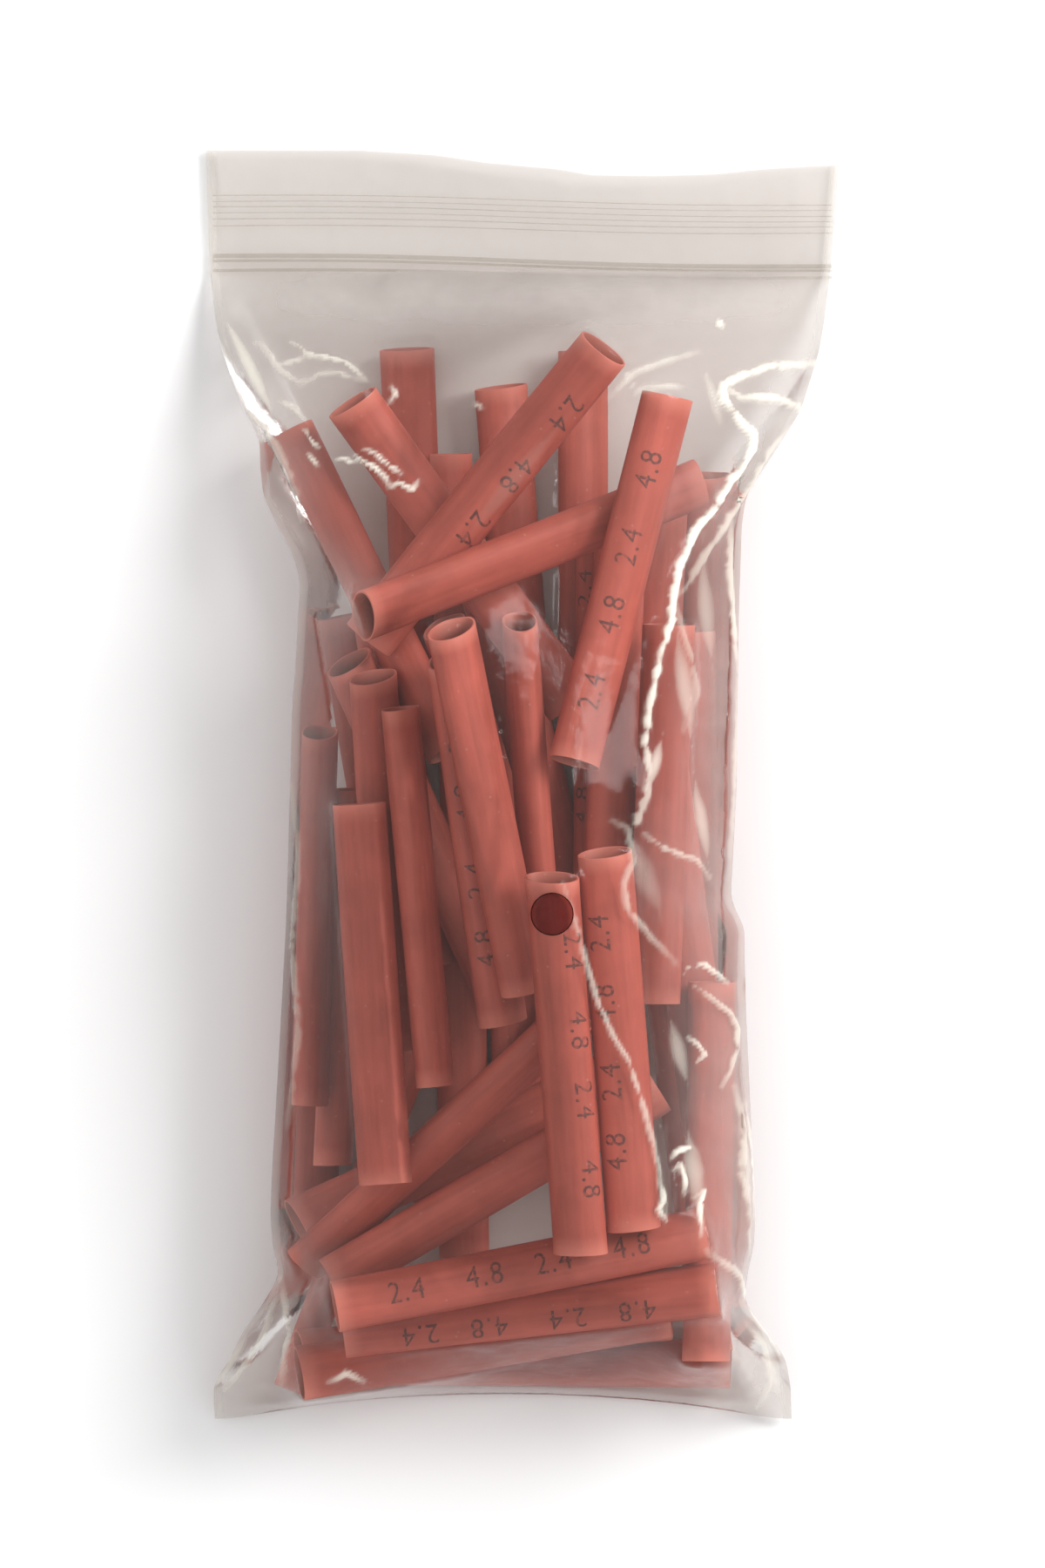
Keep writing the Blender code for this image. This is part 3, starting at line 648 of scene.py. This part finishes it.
def tube_surface(x, y, upper):
    """Height of the tubes' upper or lower skin over each place, or nan where there is none."""
    found = np.full(x.shape, np.nan)
    for lie in TUBE_LIES:
        reach = lie.length / 2 + lie.wide_radius
        near = (np.abs(x - lie.centre[0]) < reach) & (np.abs(y - lie.centre[1]) < reach)
        if not near.any():
            continue
        side = np.stack((x[near] - lie.centre[0], y[near] - lie.centre[1]), axis=1)
        wide, narrow = lie.wide / lie.wide_radius, lie.narrow / lie.narrow_radius
        across, over = side @ wide[:2], side @ narrow[:2]
        squared = wide[2] ** 2 + narrow[2] ** 2
        linear = across * wide[2] + over * narrow[2]
        rest = across**2 + over**2 - 1
        under_root = linear**2 - squared * rest
        root = np.sqrt(np.maximum(under_root, 0))
        rise = (-linear + (root if upper else -root)) / squared
        run = side @ lie.along[:2] + rise * lie.along[2]
        hit = (under_root >= 0) & (np.abs(run) <= lie.length / 2)
        height = np.where(hit, rise + lie.centre[2], np.nan)
        found[near] = np.fmax(found[near], height) if upper else np.fmin(found[near], height)
    return found


def outline_of(node_name, axis, places):
    """A node's two outermost corners across an axis, at places along it: (across, height) pairs."""
    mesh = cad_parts[node_name].data
    points = mesh_points(mesh)
    ends = np.empty(len(mesh.edges) * 2, np.int32)
    mesh.edges.foreach_get("vertices", ends)
    first, second = points[ends[::2]], points[ends[1::2]]
    low, high = [], []
    for place in places:
        spans = (first[:, axis] - place) * (second[:, axis] - place) <= 0
        start, way = first[spans], second[spans] - first[spans]
        run = np.where(np.abs(way[:, axis]) < 1e-9, 1.0, way[:, axis])
        share = np.clip((place - start[:, axis]) / run, 0, 1)
        met = start + share[:, None] * way
        across = met[:, 1 - axis]
        for found, edge in ((low, across.min()), (high, across.max())):
            found.append((edge, met[np.abs(across - edge) < 0.1 * MM, 2].mean()))
    return np.array(low).T, np.array(high).T


def spread_most(field):
    """Each point's highest neighbour, itself included."""
    most = field.copy()
    for shift in (-1, 1):
        for way in (0, 1):
            most = np.maximum(most, np.roll(field, shift, axis=way))
    return most


def crumple_noise(x, y, scale, seed):
    """Sharp-ridged folds, as in film that was crushed and pulled flat again."""
    folds = np.empty(x.size)
    for index, (across, along) in enumerate(zip(x.ravel(), y.ravel())):
        place = Vector((across / scale, along / scale, seed))
        place.x += 0.8 * noise.noise(place * 0.5 + Vector((7.1, 3.3, 0.0)))
        folds[index] = 1 - 2 * abs(noise.noise(place)) - abs(noise.noise(place * 2.3)) * 0.8
    return folds.reshape(x.shape)


def distance_to(x, y, route):
    """Distance of each place from a route of photograph pixels, and its share of the way along."""
    points = np.array([photo_place(pixel) for pixel in route])
    runs = np.linalg.norm(points[1:] - points[:-1], axis=1)
    before = np.concatenate(((0,), np.cumsum(runs)))
    nearest, share = np.full(x.shape, np.inf), np.zeros(x.shape)
    for start, end, done in zip(points, points[1:], before):
        way = end - start
        length = float(way @ way)
        along = np.clip(((x - start[0]) * way[0] + (y - start[1]) * way[1]) / length, 0, 1)
        away = np.hypot(x - start[0] - along * way[0], y - start[1] - along * way[1])
        closer = away < nearest
        nearest = np.where(closer, away, nearest)
        share = np.where(closer, (done + along * math.sqrt(length)) / before[-1], share)
    return nearest, share


def eased(values, reach):
    """Values along an edge, evened out over a number of rows."""
    kernel = np.hanning(2 * reach + 1)
    padded = np.pad(values, reach, mode="edge")
    return np.convolve(padded, kernel / kernel.sum(), mode="valid")


def stretched(height, blocked, fixed, times):
    """A film pulled flat between its fixed rows and everything that it must stay above."""
    for _ in range(times):
        mean = np.roll(height, 1, 0) + np.roll(height, -1, 0)
        mean = (mean + np.roll(height, 1, 1) + np.roll(height, -1, 1)) / 4
        height = np.where(fixed, height, np.maximum(blocked, mean))
    return height


def lip_rise(x, y, top):
    """How far the upper lip stands off the lower one above the zip, in a slack wave."""
    lips = rising(y - (top - LIP_LENGTH), LIP_LENGTH)
    return lips * (LIP_WAVE * np.sin(x / LIP_WAVE_LENGTH + LIP_WAVE_START) + LIP_STANDS)


class FilmShape:
    """The film's places and heights on a grid of rows along the bag and columns across it."""

    def __init__(self, looks):
        self.looks = looks
        self.low, self.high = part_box("zip_bag")
        rows = np.linspace(self.low.y + INSET, self.high.y - INSET, looks.rows + 1)
        turns = np.linspace(-math.pi / 2, math.pi / 2, looks.columns + 1)
        shares = CROWDED * np.sin(turns) + SPREAD * turns / (math.pi / 2)
        (left, left_seam), (right, right_seam) = outline_of("zip_bag", 1, rows)
        left, right = eased(left + INSET, EVEN_ROWS), eased(right - INSET, EVEN_ROWS)
        self.left_seam, self.right_seam = eased(left_seam, EVEN_ROWS), eased(right_seam, EVEN_ROWS)
        middle, half = (left + right) / 2, (right - left) / 2
        self.x = middle[:, None] + half[:, None] * shares
        self.edge_gap = np.minimum(self.x - left[:, None], right[:, None] - self.x)
        steps = np.linspace(self.low.x + 2 * INSET, self.high.x - 2 * INSET, BOTTOM_PLACES)
        (bottom, _), _ = outline_of("zip_bag", 0, steps)
        top = np.array([photo_place(pixel) for pixel in TOP_EDGE]).T
        share = np.linspace(0, 1, looks.rows + 1)[:, None]
        bottom_bend = np.clip(np.interp(self.x[0], steps, bottom) - rows[0], 0, MOST_BOTTOM_BEND)
        bottom_shift = bottom_bend * (1 - shares**8)
        top_shift = np.minimum(np.interp(self.x[-1], *top) - rows[-1], 0)
        self.y = rows[:, None] + falling(share, BENT_SHARE) * bottom_shift
        self.y += falling(1 - share, BENT_SHARE) * top_shift
        self.set_heights()

    def set_heights(self):
        """Pulls the upper film over the tubes and lays the lower one under them."""
        tops = tube_surface(self.x, self.y, True)
        blocked = spread_most(np.where(np.isnan(tops), 0, tops + self.looks.clearance))
        above_zip = self.y > self.high.y - ZIP_FROM_TOP
        fixed = above_zip.copy()
        fixed[:, 0] = fixed[:, -1] = fixed[0] = True
        height = blocked.copy()
        height[:, 0], height[:, -1] = self.left_seam, self.right_seam
        height[0] = self.left_seam[0]
        height[above_zip] = LIP_HEIGHT
        coarse = np.s_[::COARSE_STEP, ::COARSE_STEP]
        rough = stretched(height[coarse], blocked[coarse], fixed[coarse], COARSE_PASSES)
        down, across = (np.linspace(0, size - 1, count) for size, count in zip(rough.shape, height.shape))
        rough = np.array([np.interp(across, np.arange(rough.shape[1]), row) for row in rough])
        rough = np.array([np.interp(down, np.arange(rough.shape[0]), column) for column in rough.T]).T
        start = np.where(fixed, height, np.maximum(blocked, rough))
        taut = stretched(start, blocked, fixed, FINE_PASSES)
        self.above_tubes = np.where(blocked > 0, taut - blocked, OPEN_AIR)
        sagging = np.clip(np.where(blocked > 0, self.above_tubes, 0), 0, MOST_SAG_GAP)
        self.upper = taut - self.looks.slack * sagging
        unders = tube_surface(self.x, self.y, False)
        room = -spread_most(-np.where(np.isnan(unders), 1.0, unders - UNDER_TUBES))
        blend = np.linspace(0, 1, self.x.shape[1])
        seam = self.left_seam[:, None] * (1 - blend) + self.right_seam[:, None] * blend
        curl = falling(self.edge_gap, CURL_WIDTH) ** 2
        self.lower = np.maximum(np.minimum((seam - UNDER_SEAM) * curl, room), 0) + OVER_FLOOR
        self.lower[:, 0], self.lower[:, -1] = self.left_seam, self.right_seam
        self.lower[0] = self.left_seam[0]

    def spot(self, pixel, reach_x, reach_y):
        """1 at a photograph pixel, fading to 0 past a reach across and along, both in pixels."""
        place = photo_place(pixel)
        away = np.hypot((self.x - place[0]) / reach_x, (self.y - place[1]) / reach_y) / PIXEL
        return np.exp(-(away**2))

    def fold_fields(self):
        """How far the folds lift the upper film, and the highlight painted along them and in the glints."""
        lift, painted_highlight = np.zeros(self.x.shape), np.zeros(self.x.shape)
        ragged = crumple_noise(self.x, self.y, *RAGGED_EDGES)
        for depth, width, highlight_strength, route in FOLDS:
            away, share = distance_to(self.x, self.y, route)
            taper = np.sin(np.clip(share, 0.04, 0.96) * math.pi) ** 0.5
            lift = np.maximum(lift, depth * MM * taper * np.exp(-away / (width * MM)))
            breadth = 0.30 * width**0.5 * MM * np.clip(0.95 + 0.75 * ragged, 0.35, 1.6)
            line = np.exp(-((away / (1.2 * breadth)) ** 4))
            painted_highlight = np.maximum(painted_highlight, highlight_strength * line * taper * np.clip(0.95 + 0.5 * ragged, 0.3, 1))
        for middle, end, width, highlight_strength in GLINTS:
            start, stop = photo_place(middle), photo_place(end)
            way = (stop - start) / np.linalg.norm(stop - start)
            side = np.stack((self.x - start[0], self.y - start[1]), axis=-1)
            along = side @ way / np.linalg.norm(stop - start)
            across = side @ np.array((-way[1], way[0])) / (width * MM)
            narrow = np.clip(1 - (across / np.maximum(1 - along**2, 0.05)) ** 2, 0, 1)
            painted_highlight = np.maximum(painted_highlight, highlight_strength * (np.exp(-(along**2)) * narrow))
        return lift, painted_highlight

    def milkiness(self, folds, strength, normals):
        """How milky the upper film is: in its own patches, where it is crumpled, and where it is steep as a
        painted sheen.
        """
        milky = np.zeros(self.x.shape)
        for pixel, reach_x, reach_y, amount in MILKY:
            milky = np.maximum(milky, amount * self.spot(pixel, reach_x, reach_y))
        under_zip = rising(self.y - (self.high.y - MILKY_FROM_TOP), MILKY_RUN)
        # Painted sheen: steep film near the sides and under the zip is made milky, standing in for light
        # glancing off it
        steep_sheen = np.clip(1 - np.abs(normals[..., 2]), 0, 1)
        steep_sheen *= np.maximum(falling(self.edge_gap, MILKY_SIDES), under_zip)
        milky = np.clip(0.5 * milky * (0.8 + 0.4 * folds) + 0.02 * strength + 0.85 * steep_sheen, 0, 1)
        for pixel, reach_x, reach_y in CLEAR:
            milky *= 1 - 0.8 * self.spot(pixel, reach_x, reach_y)
        return milky

    def creased(self):
        """The upper film's points after its folds and crumples push it outwards."""
        points = np.stack((self.x, self.y, self.upper), axis=-1)
        normals = np.cross(np.gradient(points, axis=1), np.gradient(points, axis=0))
        normals /= np.linalg.norm(normals, axis=-1, keepdims=True) + 1e-12
        # Painted highlight: the folds' and glints' highlight strength is kept for the film's mesh
        lift, self.painted_highlight = self.fold_fields()
        strength = np.full(self.x.shape, LEAST_CRUMPLED)
        for pixel, reach, most in CRUMPLED:
            place = photo_place(pixel)
            away = np.hypot(self.x - place[0], self.y - place[1]) / (reach * PIXEL)
            strength = np.maximum(strength, most * np.exp(-(away**2)))
        loose = np.clip(self.above_tubes / (2 * MM), 0.25, 1)
        folds = crumple_noise(self.x, self.y, *COARSE_CRUMPLES)
        folds += 0.5 * crumple_noise(self.x, self.y, *FINE_CRUMPLES)
        crumples = self.looks.crumple * strength * loose * np.maximum(folds, -0.6)
        self.milky = self.milkiness(folds, strength, normals)
        still = rising(self.edge_gap, 1.5 * MM) * rising(self.y - self.y[0], 2 * MM)
        still *= rising(self.high.y - ZIP_FROM_TOP - self.y, 3 * MM)
        push = (lift + crumples + 0.6 * self.looks.crumple * strength) * still
        points += normals * push[..., None]
        points[..., 2] += lip_rise(self.x, self.y, self.high.y) * rising(self.edge_gap, 3 * MM)
        return points


def film_material(name, tint, looks):
    """Thin clear polyethylene: it passes most light, veils it a little, mirrors the lamp and carries painted
    highlights.
    """
    material, tree = begin_material(name)
    place = node(tree, "ShaderNodeTexCoord").outputs["Object"]
    fine = clouds(tree, place, 260.0, 5.0, 0.6)
    cells = node(tree, "ShaderNodeTexVoronoi", feature="DISTANCE_TO_EDGE",
                 inputs={"Vector": place, "Scale": 120.0})
    crackle = node(tree, "ShaderNodeMapRange", {"Value": cells.outputs["Distance"], "From Max": 0.12})
    sharp = node(tree, "ShaderNodeBump", {
        "Height": crackle.outputs["Result"], "Strength": 0.10, "Distance": 0.0002})
    bumps = node(tree, "ShaderNodeBump", {
        "Height": fine, "Strength": 0.35, "Distance": 0.0003,
        "Normal": sharp.outputs["Normal"]}).outputs["Normal"]
    front = node(tree, "ShaderNodeBsdfDiffuse", {"Color": tuple(looks.haze)})
    back = node(tree, "ShaderNodeBsdfTranslucent", {"Color": tuple(looks.haze)})
    clear = node(tree, "ShaderNodeBsdfTransparent", {"Color": tuple(tint)})
    amount = node(tree, "ShaderNodeMapRange", {
        "Value": painted(tree, "veil"), "To Min": 0.030, "To Max": 0.70})
    body = mixed(tree, amount.outputs["Result"], clear, mixed(tree, 0.4, front, back))
    gloss = node(tree, "ShaderNodeBsdfAnisotropic", {
        "Color": (1, 1, 1, 1), "Roughness": 0.10, "Normal": bumps})
    fresnel = node(tree, "ShaderNodeFresnel", {"IOR": 1.21, "Normal": bumps})
    shown = mixed(tree, fresnel.outputs["Fac"], body, gloss)
    # Painted highlight: a cream diffuse white along the folds and glints, standing in for the lamp's
    # reflection there
    bent = node(tree, "ShaderNodeBsdfDiffuse", {"Color": FOLD_HIGHLIGHT_CREAM})
    show(tree, mixed(tree, painted(tree, "painted_fold_highlight"), shown, bent))
    return material


def model_layer(name, points, veil, painted_highlight):
    """A grid laid over the given points, row by row, with how milky the film is there and its painted
    highlight.
    """
    start_fresh()
    rows, columns = veil.shape
    bpy.ops.mesh.primitive_grid_add(x_subdivisions=columns - 1, y_subdivisions=rows - 1, size=1)
    layer = bpy.context.object
    layer.name = name
    flat = mesh_points(layer.data)
    order = np.lexsort((flat[:, 0].round(6), flat[:, 1].round(6)))
    placed = np.empty(flat.shape)
    placed[order] = points.reshape(-1, 3)
    set_mesh_points(layer.data, placed)
    for attribute_name, field in (("veil", veil), ("painted_fold_highlight", painted_highlight)):
        values = np.empty(len(flat), np.float32)
        values[order] = field.reshape(-1)
        attribute = layer.data.attributes.new(attribute_name, "FLOAT", "POINT")
        attribute.data.foreach_set("value", values)
    bpy.ops.object.shade_smooth()
    return layer


def cut_vent(layer):
    """Removes the faces over the vent hole and rounds what is left of its edge."""
    centre = Vector(photo_place(VENT))
    mesh = bmesh.new()
    mesh.from_mesh(layer.data)
    inside = [face for face in mesh.faces
              if (face.calc_center_median().xy - centre).length < VENT_RADIUS]
    bmesh.ops.delete(mesh, geom=inside, context="FACES")
    for vert in mesh.verts:
        away = vert.co.xy - centre
        if vert.is_boundary and away.length < 1.6 * VENT_RADIUS:
            vert.co.xy = centre + away.normalized() * VENT_RADIUS
    mesh.to_mesh(layer.data)
    mesh.free()


def pressed_material(name, stretch, scale, most, clear_colour, skin_colour, roughness):
    """Film that was pressed or punched: its own skin shows more, in uneven lines or patches."""
    material, tree = begin_material(name)
    place = node(tree, "ShaderNodeTexCoord")
    drawn = node(tree, "ShaderNodeMapping", {"Vector": place.outputs["Object"], "Scale": stretch})
    marks = clouds(tree, drawn.outputs["Vector"], scale, 3.0)
    amount = node(tree, "ShaderNodeMapRange", {
        "Value": marks, "To Min": 0.02, "To Max": most})
    clear = node(tree, "ShaderNodeBsdfTransparent", {"Color": clear_colour})
    skin = node(tree, "ShaderNodeBsdfPrincipled", {"Base Color": skin_colour, "Roughness": roughness})
    show(tree, mixed(tree, amount.outputs["Result"], clear, skin))
    return material


class TUBEPACK_OT_film(bpy.types.Operator):
    """Stretch the upper film over the tubes, lay the lower one under them, crease and weld them"""

    bl_idname = "tubepack.film"
    bl_label = "Film bag"

    def execute(self, context):
        looks = context.scene.film_looks
        shape = FilmShape(looks)
        veil = WELD_VEIL * falling(shape.edge_gap, looks.weld) ** 0.3
        points = shape.creased()
        upper = model_layer("upper_film", points, np.clip(veil + shape.milky, 0, 1), shape.painted_highlight)
        thinned = np.s_[::2, ::2]
        under = np.stack((shape.x, shape.y, shape.lower), axis=-1)
        lower = model_layer("lower_film", under[thinned], veil[thinned], 0 * veil[thinned])
        lower.data.flip_normals()
        cut_vent(upper)
        for layer, name, tint in ((upper, "upper_clear_film", looks.tint),
                                  (lower, "lower_clear_film", looks.under_tint)):
            cover(layer, film_material(name, tint, looks))
            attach(layer, "root")
        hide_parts("zip_bag")
        return {"FINISHED"}


class TUBEPACK_OT_vent(bpy.types.Operator):
    """Set the vent hole's thin ring on the upper film, with the punched disc hanging under it, both tinted as
    painted shade
    """

    bl_idname = "tubepack.vent"
    bl_label = "Vent hole"

    def execute(self, context):
        film = bpy.data.objects["upper_film"]
        points = mesh_points(film.data)
        centre = photo_place(VENT)
        away = np.hypot(points[:, 0] - centre[0], points[:, 1] - centre[1])
        near = points[(away > 0.9 * VENT_RADIUS) & (away < 1.2 * VENT_RADIUS)]
        around = np.c_[near[:, :2] - centre, np.ones(len(near))]
        slope, _, _, _ = np.linalg.lstsq(around, near[:, 2], rcond=None)
        start_fresh()
        bpy.ops.mesh.primitive_torus_add(major_radius=VENT_RADIUS, minor_radius=0.07 * MM,
                                         major_segments=64, minor_segments=8)
        ring = context.object
        start_fresh()
        bpy.ops.mesh.primitive_circle_add(vertices=64, radius=0.97 * VENT_RADIUS, fill_type="TRIFAN")
        disc = context.object
        # Painted shade: the ring darkens the hole's edge and the disc darkens the tube under the hole
        for piece, name, drop, colour in ((ring, "vent_shade_ring", 0.02, RING_SHADE_RED),
                                          (disc, "vent_shade_disc", 0.12, DISC_SHADE_RED)):
            flat = mesh_points(piece.data)
            flat[:, 2] += flat[:, :2] @ slope[:2] + slope[2] - drop * MM
            flat[:, :2] += centre
            set_mesh_points(piece.data, flat)
            piece.name = name
            cover(piece, pressed_material(name, (1.0, 1.0, 1.0), 700.0, 0.07, colour, colour, 0.4))
            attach(piece, "root")
        return {"FINISHED"}


class TUBEPACK_OT_zip(bpy.types.Operator):
    """Press the zip's two rails and the fine grip ribs above it into the film"""

    bl_idname = "tubepack.zip"
    bl_label = "Zip and grip ribs"

    def execute(self, context):
        low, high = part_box("zip_bag")
        ribs = []
        for level, radius, fall in ZIP_RIBS:
            start_fresh()
            bpy.ops.mesh.primitive_cylinder_add(vertices=RIB_SIDES, radius=radius * MM, depth=1.0,
                                                rotation=(0, math.pi / 2, 0))
            rib = context.object
            bpy.ops.object.transform_apply(rotation=True)
            cut_along(rib, 0, 0.5, RIB_CUTS)
            points = mesh_points(rib.data)
            share = points[:, 0] + 0.5
            points[:, 0] = low.x + RIB_INSET + share * (high.x - low.x - 2 * RIB_INSET)
            wave = np.sin(share * 2 * math.pi) * RIB_WAVE
            line = (MIDDLE_PIXEL[1] - level - fall * share + wave) * PIXEL
            points[:, 1] += line
            flatness = RAIL_FLATNESS if radius > RAIL_FROM else 1.0
            points[:, 2] = points[:, 2] * flatness + LIP_HEIGHT + lip_rise(points[:, 0], line, high.y)
            set_mesh_points(rib.data, points)
            ribs.append(rib)
        lined = pressed_material("pressed_zip", (0.04, 1.0, 1.0), 1400.0, 0.12, ZIP_CLEAR, ZIP_GREY, 0.25)
        zip_piece = joined(ribs, "zip_and_ribs", lined)
        bpy.ops.object.shade_smooth()
        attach(zip_piece, "root")
        return {"FINISHED"}


class TUBEPACK_OT_stage(bpy.types.Operator):
    """Lay the pale floor, hang the soft lamp and set the camera straight above the bag"""

    bl_idname = "tubepack.stage"
    bl_label = "Stage"

    def execute(self, context):
        looks = context.scene.stage_looks
        start_fresh()
        bpy.ops.mesh.primitive_plane_add(size=FLOOR_SIZE, location=(0, 0, -FLOOR_DROP))
        floor = context.object
        floor.name = "pale_floor"
        material, tree = begin_material("pale_floor")
        show(tree, node(tree, "ShaderNodeBsdfPrincipled", {
            "Base Color": tuple(looks.floor), "Roughness": 0.9}))
        cover(floor, material)
        bpy.ops.object.light_add(type="AREA", location=KEY_PLACE)
        lamp = context.object
        lamp.name = "key_light"
        lamp.data.size = KEY_SIZE
        lamp.data.energy = looks.key
        lamp.rotation_euler = (-Vector(KEY_PLACE)).to_track_quat("-Z", "Y").to_euler()
        world = bpy.data.worlds.new("studio")
        world.use_nodes = True
        sky = world.node_tree.nodes["Background"]
        sky.inputs["Color"].default_value = (1.0, 1.0, 1.0, 1.0)
        sky.inputs["Strength"].default_value = looks.sky
        context.scene.world = world
        start_fresh()
        bpy.ops.object.camera_add(location=(0, 0, looks.distance), rotation=(0, 0, 0))
        camera = context.object
        camera.data.lens = camera.data.sensor_width * looks.distance / PHOTO_HEIGHT
        camera.data.clip_start = 0.01
        context.scene.camera = camera
        context.scene.view_settings.view_transform = "Standard"
        return {"FINISHED"}


class VIEW3D_PT_tubepack(bpy.types.Panel):
    bl_label = "Tube Pack"
    bl_space_type = "VIEW_3D"
    bl_region_type = "UI"
    bl_category = "Tube Pack"

    def draw(self, context):
        scene = context.scene
        steps = (
            (scene.tube_looks, ("tubepack.tubes", "tubepack.ink")),
            (scene.film_looks, ("tubepack.film", "tubepack.vent", "tubepack.zip")),
            (scene.stage_looks, ("tubepack.stage",)),
        )
        for looks, operators in steps:
            box = self.layout.box()
            for name in looks.__annotations__:
                box.prop(looks, name)
            for operator in operators:
                box.operator(operator)


GROUPS = (("tube_looks", TubeLooks), ("film_looks", FilmLooks), ("stage_looks", StageLooks))
OPERATORS = (TUBEPACK_OT_tubes, TUBEPACK_OT_ink, TUBEPACK_OT_film, TUBEPACK_OT_vent, TUBEPACK_OT_zip,
             TUBEPACK_OT_stage)


def register():
    for name, group in GROUPS:
        bpy.utils.register_class(group)
        setattr(bpy.types.Scene, name, PointerProperty(type=group))
    for operator in OPERATORS:
        bpy.utils.register_class(operator)
    bpy.utils.register_class(VIEW3D_PT_tubepack)


def unregister():
    bpy.utils.unregister_class(VIEW3D_PT_tubepack)
    for operator in reversed(OPERATORS):
        bpy.utils.unregister_class(operator)
    for name, group in reversed(GROUPS):
        delattr(bpy.types.Scene, name)
        bpy.utils.unregister_class(group)


def main():
    register()
    bpy.ops.tubepack.tubes()
    bpy.ops.tubepack.ink()
    bpy.ops.tubepack.film()
    bpy.ops.tubepack.vent()
    bpy.ops.tubepack.zip()
    bpy.ops.tubepack.stage()


if __name__ == "__main__":
    main()
